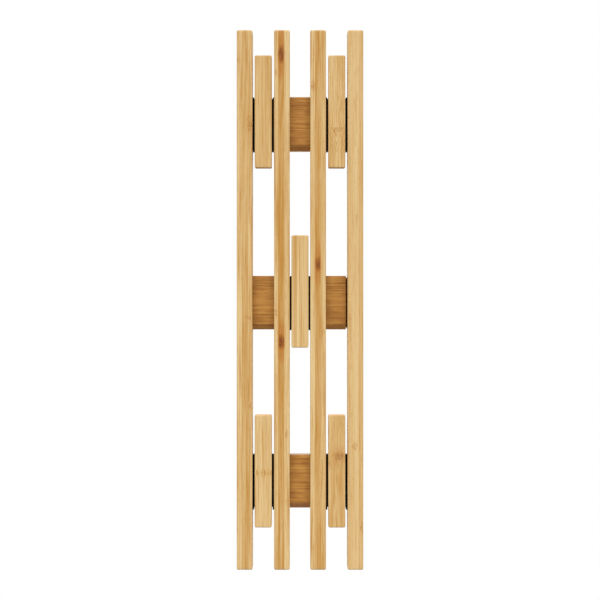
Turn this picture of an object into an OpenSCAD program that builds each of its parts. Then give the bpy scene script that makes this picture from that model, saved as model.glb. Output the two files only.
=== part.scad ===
// Wall coat rack in bamboo: four upright slats on three rear rails, with
// five fold-out pegs, each on a pin in a folded steel bracket.
//
// Millimetres, +Z up. The wall is the plane y = 0 and the rack faces -Y.
// x = 0 is the middle of the width and z = 0 is the middle of the slats.

/* [Slats] */
// Length of each upright slat
slat_l = 600; // [540:1:900]
// Width of each slat, seen from the front
slat_w = 17.5; // [14:0.5:26]
// Depth of each slat, front to back
slat_d = 22; // [18:0.5:30]
// How much wider each outer gap is than the middle gap
outer_extra = 1.2; // [0:0.1:6]

/* [Rows] */
// Height from one row of pegs to the next
row_pitch = 200; // [150:1:240]
// How far the rows sit below the middle of the slats
row_drop = 3; // [0:0.5:12]

/* [Rails] */
// Thickness of each rear rail
rail_t = 10; // [8:0.5:16]
// How far a rail stops short of the blocks, above and below
rail_step = 1.6; // [1:0.1:4]
// How far a rail end stops short of the outer slat's side
rail_inset = 3; // [0:0.5:6]

/* [Blocks] */
// Height of each block between the slats
block_h = 60; // [48:1:76]
// How far the block face sits behind the slat faces
block_recess = 9; // [5:0.5:12]
// Height of the bevel along the lower front edge
bevel_h = 6; // [2:0.5:12]
// Depth of the bevel along the lower front edge
bevel_d = 5.5; // [1:0.5:6]
// Gap at the outer end of the middle row's right block, which is cut short
block_crack = 1.6; // [0.1:0.1:3]

/* [Pegs] */
// Width of each peg
peg_w = 19; // [14:0.5:26]
// Thickness of each peg, front to back
peg_t = 12; // [10:0.5:15]
// Length of each peg
peg_l = 125; // [100:1:160]
// How far a closed peg hangs below the blocks
peg_below = 20; // [14:0.5:26]
// Angle from closed to fully open, in degrees
open_angle = 45; // [36:1:60]

/* [Brackets] */
// Thickness of the folded steel sheet
sheet_t = 1.4; // [1:0.1:2]
// Inside radius of the two folds
fold_r = 1; // [0.4:0.1:1.6]
// How far the ears stop behind the slat faces
ear_setback = 1; // [0.5:0.1:2]
// Radius of the hinge pin
pin_r = 2; // [1.5:0.1:2.4]
// Height of the hinge pin above the bottom of the blocks
pin_rise = 5; // [3:0.5:12]

/* [Hangers] */
// Length of each keyhole plate
hanger_l = 30; // [30:1:34]
// Width of each keyhole plate
hanger_w = 15; // [14:0.5:20]
// Thickness of each keyhole plate
hanger_t = 1.5; // [1:0.1:2]
// Radius of the keyhole where the wall screw's head goes in
keyhole_r = 4.5; // [3.6:0.1:5]
// Radius of the keyhole where the wall screw's shank rests
shank_r = 2.25; // [1.5:0.05:2.6]

/* [Edges] */
// Corner radius of the bamboo pieces, seen from the front
corner_r = 2; // [0.6:0.1:3]
// Radius of the long edges of the bamboo pieces
edge_r = 1.2; // [0.4:0.1:2.5]
// Radius of the blocks' edges, which are crisper
block_edge_r = 0.5; // [0.2:0.1:1.2]

/* [Fits] */
// Gap between the middle peg and each ear of its bracket
peg_side_gap = 0.35; // [0.3:0.05:0.8]
// Gap between a bracket and each slat beside it
bracket_side_gap = 0.15; // [0.05:0.05:0.6]
// Gap between a block and each slat beside it
block_side_gap = 0.1; // [0.05:0.05:0.6]
// Radial clearance between a peg and its pin
pin_running_gap = 0.06; // [0.02:0.01:0.1]
// Radial clearance of a pin or screw in the piece that holds it
hold_gap = 0.03; // [0.01:0.01:0.05]
// Gap left between a peg and its stops, closed and open
stop_gap = 0.3; // [0.3:0.05:0.6]

/* [Hidden] */
$fn = 48;
over = 1; // how far a cutting shape runs past what it cuts

bamboo = "#D8B277";
dark_bamboo = "#AA7742";
black_steel = "#141414";
bright_steel = "#B9BBBD";
black_rubber = "#2A2A2A";

// Across the rack
inner_gap = peg_w + 2 * (peg_side_gap + sheet_t + bracket_side_gap);
outer_gap = inner_gap + outer_extra;
inner_slat_x = inner_gap / 2 + slat_w / 2;
outer_slat_x = inner_slat_x + slat_w + outer_gap;
rack_w = 2 * outer_slat_x + slat_w;
outer_peg_x = (inner_slat_x + outer_slat_x) / 2;
inner_block_w = inner_gap - 2 * block_side_gap;
left_block_w = outer_gap - 2 * block_side_gap;
right_block_w = outer_gap - block_side_gap - block_crack;
left_block_x = -outer_peg_x;
right_block_x = outer_peg_x - (block_crack - block_side_gap) / 2;
SLAT_X = [-outer_slat_x, -inner_slat_x, inner_slat_x, outer_slat_x];
function bracket_w(column) = (column == 0 ? inner_gap : outer_gap) - 2 * bracket_side_gap;

// Front to back
rail_y = -rail_t;
front_y = rail_y - slat_d;
block_y = front_y + block_recess;
block_d = slat_d - block_recess;

// Up and down
TOP = 1;
MIDDLE = 0;
BOTTOM = -1;
LEFT = -1;
CENTRE = 0;
RIGHT = 1;
PEGS = [[LEFT, TOP], [RIGHT, TOP], [CENTRE, MIDDLE], [LEFT, BOTTOM], [RIGHT, BOTTOM]];
function row_z(row) = row * row_pitch - row_drop;
rail_h = block_h - 2 * rail_step;

// Screws. The long ones hold the slats and blocks from behind the rails.
long_screw_r = 1.9;
long_screw_l = rail_t + 10;
long_head_r = 3.7;
long_head_h = 2.2;
long_screw_z = rail_h / 2 - 12;
pan_screw_r = 1.5;
pan_screw_l = rail_t - 2;
pan_head_r = 2.9;
pan_head_h = 2;
pan_screw_z = rail_h / 2 - 6;
small_screw_r = 1.25;
small_screw_l = rail_t - 3;
small_head_r = 2.6;
small_screw_z = hanger_l / 2 - 3;
screw_point_l = 3;
cross_w = 0.9;

// Hinge. Depths run back from the slat faces, heights from the row's centre.
pin_z = -block_h / 2 + pin_rise;
pin_ahead = 0.9; // the pin sits in front of the peg's mid-plane, so a closed peg leans shut
pin_depth = peg_t / 2 - pin_ahead;
pin_wall = 5.7;
web_face = slat_d - sheet_t;
stop_drop = (peg_t - pin_depth + stop_gap - (web_face - pin_depth) * cos(open_angle))
  / sin(open_angle);
web_bottom_z = pin_z + stop_drop;
ear_lip = 0.4;
ear_bottom_z = min(web_bottom_z - ear_lip, pin_z - pin_wall);
ear_top_z = block_h / 2 - 0.2;
ear_nose_r = 3.5;
ear_top_r = 1.5;
ear_slope_low = pin_z + 11;
ear_slope_high = pin_z + 34;
peg_bottom_z = -block_h / 2 - peg_below;

// Bumper that a closed peg's back lies against
bumper_l = web_face - peg_t - stop_gap;
bumper_r = 4;
bumper_foot_r = 5;
bumper_foot_h = 1.5;
bumper_tip_r = 1.2;

// Keyhole plates
keyhole_low_z = -4;
keyhole_high_z = 3;
pocket_d = 4.5;
pocket_gap = 0.5;
hanger_corner_r = 3;

// ---- Helpers ----

// Rectangle centred on the origin with four round corners.
module round_rect(w, h, r) {
  square([w - 2 * r, h], center = true);
  square([w, h - 2 * r], center = true);
  for (sx = [-1, 1], sy = [-1, 1])
    translate([sx * (w / 2 - r), sy * (h / 2 - r)])
      circle(r);
}

// Round-ended slot along the second axis, from y = low to y = high.
module slot_shape(r, low, high) {
  translate([0, low]) circle(r);
  translate([0, high]) circle(r);
  translate([-r, low]) square([2 * r, high - low]);
}

// Extrudes a shape drawn in (y, z) along x, centred on x = 0.
module across(w) {
  translate([-w / 2, 0, 0])
    rotate([90, 0, 90])
      linear_extrude(w)
        children();
}

// Extrudes a shape drawn in (x, z) along y, centred on y = 0.
module through(d) {
  translate([0, d / 2, 0])
    rotate([90, 0, 0])
      linear_extrude(d)
        children();
}

// Cuts a shape drawn in (x, z) forward from the back of the rack.
module cut_from_back(depth) {
  translate([0, over, 0])
    rotate([90, 0, 0])
      linear_extrude(depth + over)
        children();
}

// Rod along x, centred on x = 0.
module rod_x(r, l) {
  rotate([0, 90, 0])
    cylinder(r = r, h = l, center = true);
}

// Bamboo bar centred on the origin, eased on every edge.
module eased_bar(w, d, l) {
  intersection() {
    translate([0, 0, -l / 2]) linear_extrude(l) round_rect(w, d, edge_r);
    through(d) round_rect(w, l, corner_r);
    across(w) round_rect(d, l, edge_r);
  }
}

// Turn a screw that is drawn along +z to run towards the front, or towards the wall.
module driven_forward() {
  rotate([90, 0, 0]) children();
}

module driven_back() {
  rotate([-90, 0, 0]) children();
}

// Cross recess cut down from z = 0.
module cross_recess(reach) {
  for (turn = [0, 90])
    rotate(turn)
      translate([-reach, -cross_w / 2, -over])
        cube([2 * reach, cross_w, over + 1.2]);
}

// Pointed shank from z = 0 to z = l.
module shank(r, l) {
  cylinder(r = r, h = l - screw_point_l);
  translate([0, 0, l - screw_point_l])
    cylinder(r1 = r, r2 = 0.3, h = screw_point_l);
}

// Countersunk screw with its flat head at z = 0.
module countersunk_screw(r, l, head_r, head_h) {
  difference() {
    union() {
      cylinder(r1 = head_r, r2 = r, h = head_h);
      shank(r, l);
    }
    cross_recess(0.55 * head_r);
  }
}

// Hole for a countersunk screw, cut down from z = 0.
module countersunk_hole(r, l, head_r, head_h) {
  translate([0, 0, -over]) cylinder(r = r + hold_gap, h = l + over);
  cylinder(r1 = head_r + hold_gap, r2 = r + hold_gap, h = head_h);
  translate([0, 0, -over]) cylinder(r = head_r + hold_gap, h = over);
}

module long_screw() {
  driven_forward() countersunk_screw(long_screw_r, long_screw_l, long_head_r, long_head_h);
}

module long_screw_hole() {
  driven_forward() countersunk_hole(long_screw_r, long_screw_l, long_head_r, long_head_h);
}

// Domed screw that holds a bracket, on the front of its web.
module pan_screw() {
  dome_r = (pan_head_r * pan_head_r + pan_head_h * pan_head_h) / (2 * pan_head_h);
  translate([0, rail_y - sheet_t, 0])
    driven_back() {
      shank(pan_screw_r, pan_screw_l);
      difference() {
        intersection() {
          translate([0, 0, -pan_head_h]) cylinder(r = pan_head_r, h = pan_head_h);
          translate([0, 0, dome_r - pan_head_h]) sphere(dome_r);
        }
        translate([0, 0, -pan_head_h]) cross_recess(0.55 * pan_head_r);
      }
    }
}

// Places a child above and below a row's centre.
module screw_pair(x, row, z) {
  for (side = [-1, 1])
    translate([x, 0, row_z(row) + side * z])
      children();
}

// ---- Frame ----

module slat(x) {
  color(bamboo)
    difference() {
      translate([x, rail_y - slat_d / 2, 0])
        eased_bar(slat_w, slat_d, slat_l);
      for (row = [TOP, MIDDLE, BOTTOM])
        screw_pair(x, row, long_screw_z) long_screw_hole();
    }
}

// Side outline of a block: square behind, bevelled along the lower front edge.
module block_side() {
  difference() {
    translate([block_y + block_d / 2, 0])
      round_rect(block_d, block_h, block_edge_r);
    polygon([
      [block_y - over, -block_h / 2 + bevel_h + over * bevel_h / bevel_d],
      [block_y + bevel_d + over, -block_h / 2 - over * bevel_h / bevel_d],
      [block_y - over, -block_h / 2 - over * bevel_h / bevel_d],
    ]);
  }
}

module block(x, row, w) {
  color(dark_bamboo)
    difference() {
      translate([x, 0, row_z(row)])
        intersection() {
          translate([0, block_y + block_d / 2, 0])
            through(block_d)
              round_rect(w, block_h, block_edge_r);
          across(w) block_side();
          translate([0, block_y + block_d / 2, -block_h / 2])
            linear_extrude(block_h)
              round_rect(w, block_d, block_edge_r);
        }
      screw_pair(x, row, long_screw_z) long_screw_hole();
    }
}

// Rail with holes for the slats, blocks and brackets that it carries.
module rail(row, block_xs, peg_xs) {
  color(dark_bamboo)
    difference() {
      translate([0, rail_y / 2, row_z(row)])
        rotate([0, 90, 0])
          eased_bar(rail_h, rail_t, rack_w - 2 * rail_inset);
      for (x = concat(SLAT_X, block_xs))
        screw_pair(x, row, long_screw_z) long_screw_hole();
      for (x = peg_xs)
        screw_pair(x, row, pan_screw_z)
          translate([0, rail_y - over, 0])
            driven_back()
              cylinder(r = pan_screw_r + hold_gap, h = over + pan_screw_l - sheet_t);
      if (row == TOP)
        for (side = [LEFT, RIGHT])
          translate([side * outer_peg_x, 0, row_z(row)])
            hanger_recess();
    }
}

// ---- Hinges ----

// Plan of the folded channel: open in front, with two rounded folds at the back.
module channel_plan(w, y_back, r) {
  translate([-w / 2, front_y]) square([w, y_back - r - front_y]);
  translate([-w / 2 + r, front_y]) square([w - 2 * r, y_back - front_y]);
  for (side = [-1, 1])
    translate([side * (w / 2 - r), y_back - r])
      circle(r);
}

// Side outline of the ears: narrow at the top, reaching forward round the pin.
module ear_side() {
  nose_y = front_y + ear_setback + ear_nose_r;
  nose_z = ear_bottom_z + ear_nose_r;
  top_y = block_y + ear_top_r;
  polygon([
    [front_y + ear_setback, nose_z],
    [nose_y, ear_bottom_z],
    [rail_y, ear_bottom_z],
    [rail_y, ear_top_z],
    [top_y, ear_top_z],
    [block_y, ear_top_z - ear_top_r],
    [block_y, ear_slope_high],
    [front_y + ear_setback, ear_slope_low],
  ]);
  translate([nose_y, nose_z]) circle(ear_nose_r);
  translate([top_y, ear_top_z - ear_top_r]) circle(ear_top_r);
}

module bracket(column, row) {
  w = bracket_w(column);
  in_w = w - 2 * sheet_t;
  height = ear_top_z - ear_bottom_z;
  color(black_steel)
    translate([column * outer_peg_x, 0, row_z(row)])
      difference() {
        intersection() {
          translate([0, 0, ear_bottom_z])
            linear_extrude(height)
              difference() {
                channel_plan(w, rail_y, fold_r + sheet_t);
                translate([0, -sheet_t]) channel_plan(in_w, rail_y, fold_r);
              }
          across(w) ear_side();
        }
        translate([-in_w / 2, rail_y - sheet_t - fold_r, ear_bottom_z - over])
          cube([in_w, sheet_t + fold_r + over, web_bottom_z - ear_bottom_z + over]);
        translate([0, front_y + pin_depth, pin_z])
          rod_x(pin_r + hold_gap, w + 2 * over);
        for (side = [-1, 1])
          translate([0, rail_y + over, side * pan_screw_z])
            driven_forward()
              cylinder(r = pan_screw_r + hold_gap, h = sheet_t + 2 * over);
      }
}

module peg(column, row) {
  color(bamboo)
    translate([column * outer_peg_x, front_y, row_z(row)])
      difference() {
        translate([0, peg_t / 2, peg_bottom_z + peg_l / 2])
          eased_bar(peg_w, peg_t, peg_l);
        translate([0, pin_depth, pin_z])
          rod_x(pin_r + pin_running_gap, peg_w + 2 * over);
      }
}

module pin(column, row) {
  color(black_steel)
    translate([column * outer_peg_x, front_y + pin_depth, row_z(row) + pin_z])
      rod_x(pin_r, bracket_w(column));
}

// Turned rubber bumper standing on the web, its foot at z = 0.
module bumper_shape() {
  cylinder(r = bumper_foot_r, h = bumper_foot_h);
  cylinder(r = bumper_r, h = bumper_l - bumper_tip_r);
  cylinder(r = bumper_r - bumper_tip_r, h = bumper_l);
  translate([0, 0, bumper_l - bumper_tip_r])
    rotate_extrude()
      translate([bumper_r - bumper_tip_r, 0])
        intersection() {
          circle(bumper_tip_r);
          square(bumper_tip_r);
        }
}

module bumper(column, row) {
  color(black_rubber)
    translate([column * outer_peg_x, front_y + web_face, row_z(row)])
      driven_forward()
        bumper_shape();
}

// ---- Hangers ----

// Shallow seat for a keyhole plate, and the pocket that the wall screw's head slides in.
module hanger_recess() {
  cut_from_back(hanger_t)
    round_rect(hanger_w + 2 * hold_gap, hanger_l + 2 * hold_gap, hanger_corner_r);
  cut_from_back(hanger_t + pocket_d)
    slot_shape(keyhole_r + pocket_gap, keyhole_low_z, keyhole_high_z);
  for (end = [-1, 1])
    translate([0, 0, end * small_screw_z])
      driven_forward()
        cylinder(r = small_screw_r + hold_gap, h = small_screw_l);
}

module hanger(side) {
  color(bright_steel)
    translate([side * outer_peg_x, 0, row_z(TOP)])
      difference() {
        translate([0, -hanger_t / 2, 0])
          through(hanger_t)
            difference() {
              round_rect(hanger_w, hanger_l, hanger_corner_r);
              translate([0, keyhole_low_z]) circle(keyhole_r);
              slot_shape(shank_r, keyhole_low_z, keyhole_high_z);
            }
        for (end = [-1, 1])
          translate([0, 0, end * small_screw_z])
            driven_forward()
              countersunk_hole(small_screw_r, small_screw_l, small_head_r, hanger_t);
      }
}

// ---- Nodes ----

module slat_outer_left() slat(SLAT_X[0]);
module slat_inner_left() slat(SLAT_X[1]);
module slat_inner_right() slat(SLAT_X[2]);
module slat_outer_right() slat(SLAT_X[3]);

module rail_top() rail(TOP, [0], [-outer_peg_x, outer_peg_x]);
module rail_middle() rail(MIDDLE, [left_block_x, right_block_x], [0]);
module rail_bottom() rail(BOTTOM, [0], [-outer_peg_x, outer_peg_x]);

module block_top() block(0, TOP, inner_block_w);
module block_middle_left() block(left_block_x, MIDDLE, left_block_w);
module block_middle_right() block(right_block_x, MIDDLE, right_block_w);
module block_bottom() block(0, BOTTOM, inner_block_w);

module bracket_top_left() bracket(LEFT, TOP);
module bracket_top_right() bracket(RIGHT, TOP);
module bracket_middle() bracket(CENTRE, MIDDLE);
module bracket_bottom_left() bracket(LEFT, BOTTOM);
module bracket_bottom_right() bracket(RIGHT, BOTTOM);

module peg_top_left() peg(LEFT, TOP);
module peg_top_right() peg(RIGHT, TOP);
module peg_middle() peg(CENTRE, MIDDLE);
module peg_bottom_left() peg(LEFT, BOTTOM);
module peg_bottom_right() peg(RIGHT, BOTTOM);

module pin_top_left() pin(LEFT, TOP);
module pin_top_right() pin(RIGHT, TOP);
module pin_middle() pin(CENTRE, MIDDLE);
module pin_bottom_left() pin(LEFT, BOTTOM);
module pin_bottom_right() pin(RIGHT, BOTTOM);

module bumper_top_left() bumper(LEFT, TOP);
module bumper_top_right() bumper(RIGHT, TOP);
module bumper_middle() bumper(CENTRE, MIDDLE);
module bumper_bottom_left() bumper(LEFT, BOTTOM);
module bumper_bottom_right() bumper(RIGHT, BOTTOM);

module hanger_left() hanger(LEFT);
module hanger_right() hanger(RIGHT);

module slat_screws()
  color(bright_steel)
    for (x = SLAT_X, row = [TOP, MIDDLE, BOTTOM])
      screw_pair(x, row, long_screw_z) long_screw();

module block_screws()
  color(bright_steel)
    for (place = [[0, TOP], [left_block_x, MIDDLE], [right_block_x, MIDDLE], [0, BOTTOM]])
      screw_pair(place[0], place[1], long_screw_z) long_screw();

module bracket_screws()
  color(bright_steel)
    for (place = PEGS)
      screw_pair(place[0] * outer_peg_x, place[1], pan_screw_z) pan_screw();

module hanger_screws()
  color(bright_steel)
    for (side = [LEFT, RIGHT])
      screw_pair(side * outer_peg_x, TOP, small_screw_z)
        driven_forward()
          countersunk_screw(small_screw_r, small_screw_l, small_head_r, hanger_t);

slat_outer_left();
slat_inner_left();
slat_inner_right();
slat_outer_right();
rail_top();
rail_middle();
rail_bottom();
block_top();
block_middle_left();
block_middle_right();
block_bottom();
bracket_top_left();
bracket_top_right();
bracket_middle();
bracket_bottom_left();
bracket_bottom_right();
peg_top_left();
peg_top_right();
peg_middle();
peg_bottom_left();
peg_bottom_right();
pin_top_left();
pin_top_right();
pin_middle();
pin_bottom_left();
pin_bottom_right();
bumper_top_left();
bumper_top_right();
bumper_middle();
bumper_bottom_left();
bumper_bottom_right();
slat_screws();
block_screws();
bracket_screws();
hanger_left();
hanger_right();
hanger_screws();
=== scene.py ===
"""Looks of a wall coat rack: laminated bamboo, black hinge brackets, zinc screws, and the studio."""

import logging
import math
from collections.abc import Iterable, Mapping
from dataclasses import dataclass, field, replace
from enum import Enum
from functools import cached_property

import bpy
from bpy.types import ID, Material, Node, NodeTree, Object
from bpy.types import NodeSocket as Socket
from mathutils import Color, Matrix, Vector


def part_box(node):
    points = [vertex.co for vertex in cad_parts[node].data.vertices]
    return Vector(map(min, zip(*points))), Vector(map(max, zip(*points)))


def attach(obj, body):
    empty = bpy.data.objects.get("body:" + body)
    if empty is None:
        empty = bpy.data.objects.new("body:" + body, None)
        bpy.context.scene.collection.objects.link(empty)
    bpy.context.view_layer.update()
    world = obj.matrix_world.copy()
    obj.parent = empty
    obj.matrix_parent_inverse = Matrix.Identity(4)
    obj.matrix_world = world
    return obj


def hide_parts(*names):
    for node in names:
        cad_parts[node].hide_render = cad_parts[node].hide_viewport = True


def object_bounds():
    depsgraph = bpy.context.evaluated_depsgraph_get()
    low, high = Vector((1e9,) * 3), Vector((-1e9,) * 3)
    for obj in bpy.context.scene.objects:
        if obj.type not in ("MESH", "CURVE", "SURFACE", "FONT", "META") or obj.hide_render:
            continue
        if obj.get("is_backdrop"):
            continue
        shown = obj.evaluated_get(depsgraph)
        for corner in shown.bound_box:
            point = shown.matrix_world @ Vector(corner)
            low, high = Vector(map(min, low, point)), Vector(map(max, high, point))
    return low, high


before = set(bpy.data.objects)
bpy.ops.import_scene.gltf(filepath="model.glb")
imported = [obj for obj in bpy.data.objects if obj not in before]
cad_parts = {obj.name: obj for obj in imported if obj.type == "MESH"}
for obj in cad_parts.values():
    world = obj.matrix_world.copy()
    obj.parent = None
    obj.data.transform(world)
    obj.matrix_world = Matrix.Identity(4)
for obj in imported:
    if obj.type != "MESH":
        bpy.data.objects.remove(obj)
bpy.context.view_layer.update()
LOG = logging.getLogger("coat_rack")

# One millimetre in metres.
MM = 0.001

# The CAD nodes, and where the pegs are: a peg's bracket, pin and bumper take their names from it.
PEG_PLACES = ("top_left", "top_right", "middle", "bottom_left", "bottom_right")
SLATS = ("slat_outer_left", "slat_inner_left", "slat_inner_right", "slat_outer_right")
BLOCKS = ("block_top", "block_middle_left", "block_middle_right", "block_bottom")
RAILS = ("rail_top", "rail_middle", "rail_bottom")
HANGERS = ("hanger_left", "hanger_right")

Colour = tuple[float, float, float, float]
Triple = tuple[float, float, float]
Pair = tuple[float, float]

# What a node's input takes: another node's output, or a constant.
Value = Socket | float | tuple[float, ...] | Vector | ID

# A node's inputs by name or by number, and the radius and height of each point of a turned shape.
Inputs = Mapping[str, Value] | Mapping[int, Value]
Profile = list[tuple[Value, Value]]

# Where a screw, a pin or a bumper points.
TO_WALL: Triple = (0.0, 1.0, 0.0)
TO_ROOM: Triple = (0.0, -1.0, 0.0)
TO_SIDE: Triple = (1.0, 0.0, 0.0)


def srgb(red: int, green: int, blue: int) -> Colour:
    """Turns an 8-bit sRGB colour into the linear colour, with an alpha of 1, that shaders take."""
    linear = Color((red / 255, green / 255, blue / 255)).from_srgb_to_scene_linear()
    return (*linear, 1.0)


def named(sockets: Iterable[Socket]) -> dict[str, Socket]:
    """Lists sockets by name."""
    return {socket.name: socket for socket in sockets}


# ---- writing node trees


class Graph:
    """A node tree being written: adds nodes with their inputs and joins them up."""

    def __init__(self, tree: NodeTree) -> None:
        """Takes the tree to write in, which is a material's, a world's or a group's."""
        self.tree = tree

    def feed(self, socket: Socket, value: Value) -> None:
        """Links a socket to another, or sets its constant.

        Args:
            socket: The input socket.
            value: A constant, or an output socket to link from.
        """
        if isinstance(value, Socket):
            self.tree.links.new(value, socket)
        else:
            socket.default_value = value

    def add(self, kind: str, inputs: Inputs | None = None, **settings: str | bool | ID) -> Node:
        """Adds one node.

        Args:
            kind: The node's type name.
            inputs: Socket name or index to a constant, or to an output socket to link from.
            **settings: Properties of the node itself.

        Returns:
            The new node.
        """
        node = self.tree.nodes.new(kind)
        for name, value in settings.items():
            setattr(node, name, value)
        for key, value in (inputs or {}).items():
            self.feed(node.inputs[key], value)
        return node

    def put(self, kind: str, inputs: Inputs | None = None, **settings: str | bool | ID) -> Socket:
        """Adds one node as add() does, and returns its first output."""
        return self.add(kind, inputs, **settings).outputs[0]

    def math(self, operation: str, *values: Value, clamp: bool = False) -> Socket:
        """Adds a Math node. Clamp holds the result between 0 and 1."""
        return self.put("ShaderNodeMath", dict(enumerate(values)), operation=operation, use_clamp=clamp)

    def times(self, value: Value, share: Value) -> Socket:
        """Multiplies two values."""
        return self.math("MULTIPLY", value, share)

    def over(self, value: Value, part: Value) -> Socket:
        """Divides the first value by the second."""
        return self.math("DIVIDE", value, part)

    def plus(self, value: Value, more: Value) -> Socket:
        """Adds two values."""
        return self.math("ADD", value, more)

    def minus(self, value: Value, less: Value) -> Socket:
        """Takes the second value from the first."""
        return self.math("SUBTRACT", value, less)

    def scaled(self, value: Value, share: Value, more: Value) -> Socket:
        """Multiplies the first two values and adds the third."""
        return self.math("MULTIPLY_ADD", value, share, more)

    def vector(self, operation: str, *values: Value) -> Socket:
        """Adds a Vector Math node and returns its vector."""
        return self.put("ShaderNodeVectorMath", dict(enumerate(values)), operation=operation)

    def combine(self, x: Value, y: Value, z: Value) -> Socket:
        """Makes a vector of three values."""
        return self.put("ShaderNodeCombineXYZ", {0: x, 1: y, 2: z})

    def split(self, vector: Socket) -> tuple[Socket, ...]:
        """Takes a vector apart into its X, Y and Z sockets."""
        return tuple(self.add("ShaderNodeSeparateXYZ", {0: vector}).outputs)

    def ramp(self, value: Value, start: Value, end: Value, low: Value = 0.0, high: Value = 1.0,
             smooth: bool = True) -> Socket:
        """Maps one range of a value onto another, and holds the result at both ends.

        Args:
            value: The value.
            start: The value that gives low.
            end: The value that gives high.
            low: The result at the start.
            high: The result at the end.
            smooth: Whether the result eases in and out.

        Returns:
            The mapped value.
        """
        inputs = {"Value": value, "From Min": start, "From Max": end, "To Min": low, "To Max": high}
        kind = "SMOOTHSTEP" if smooth else "LINEAR"
        return self.put("ShaderNodeMapRange", inputs, interpolation_type=kind)


class ShaderGraph(Graph):
    """A graph with the steps that only materials and shader groups take."""

    def blend(self, share: Value, low: Value, high: Value) -> Socket:
        """Mixes a share, 0 to 1, of the second colour into the first."""
        return self.add("ShaderNodeMix", {0: share, 6: low, 7: high}, data_type="RGBA").outputs[2]

    def noise(self, vector: Value, seed: Value, detail: float = 2.0, roughness: float = 0.5,
              distortion: float = 0.0) -> Socket:
        """Adds a seeded noise of one cell per unit, mostly between 0.2 and 0.8.

        Args:
            vector: Where the noise is read, in cells.
            seed: Its fourth coordinate.
            detail: How many finer layers are added.
            roughness: The strength of each finer layer, as a share of the layer before.
            distortion: How far the cells are warped.

        Returns:
            The noise.
        """
        inputs = {"Vector": vector, "W": seed, "Scale": 1.0, "Detail": detail, "Roughness": roughness,
                  "Distortion": distortion}
        return self.put("ShaderNodeTexNoise", inputs, noise_dimensions="4D")

    def group(self, tree: NodeTree, inputs: Inputs) -> dict[str, Socket]:
        """Places a shader group with its own values, and returns its outputs by name."""
        return named(self.add("ShaderNodeGroup", inputs, node_tree=tree).outputs)

    def dress(self, inputs: Inputs) -> None:
        """Ends a material with the surface that these inputs make."""
        shader = self.put("ShaderNodeBsdfPrincipled", inputs)
        self.add("ShaderNodeOutputMaterial", {"Surface": shader})

    @classmethod
    def for_material(cls, name: str) -> tuple[Material, "ShaderGraph"]:
        """Starts an empty material.

        Args:
            name: The material's name.

        Returns:
            The material and the graph to write in.
        """
        material = bpy.data.materials.new(name)
        material.use_nodes = True
        material.node_tree.nodes.clear()
        return material, cls(material.node_tree)

    def leave(self, values: dict[str, Socket]) -> NodeTree:
        """Ends a group with what it gives, by name, and returns its tree."""
        self.add("NodeGroupOutput", values)
        return self.tree

    @classmethod
    def for_group(cls, name: str, inputs: str, outputs: str) -> tuple["ShaderGraph", dict[str, Socket]]:
        """Starts a shader node group. A socket is a Float, unless its name ends in Vector.

        Args:
            name: The group's name.
            inputs: The inputs' names, with commas between them.
            outputs: The outputs' names, with commas between them.

        Returns:
            The graph, and the group's inputs by name.
        """
        tree = bpy.data.node_groups.new(name, "ShaderNodeTree")
        for side, sockets in (("INPUT", inputs), ("OUTPUT", outputs)):
            for socket in sockets.split(", "):
                kind = "NodeSocketVector" if socket.endswith("Vector") else "NodeSocketFloat"
                tree.interface.new_socket(socket, in_out=side, socket_type=kind)
        graph = cls(tree)
        return graph, named(graph.add("NodeGroupInput").outputs)


# ---- shared shader effects


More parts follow.
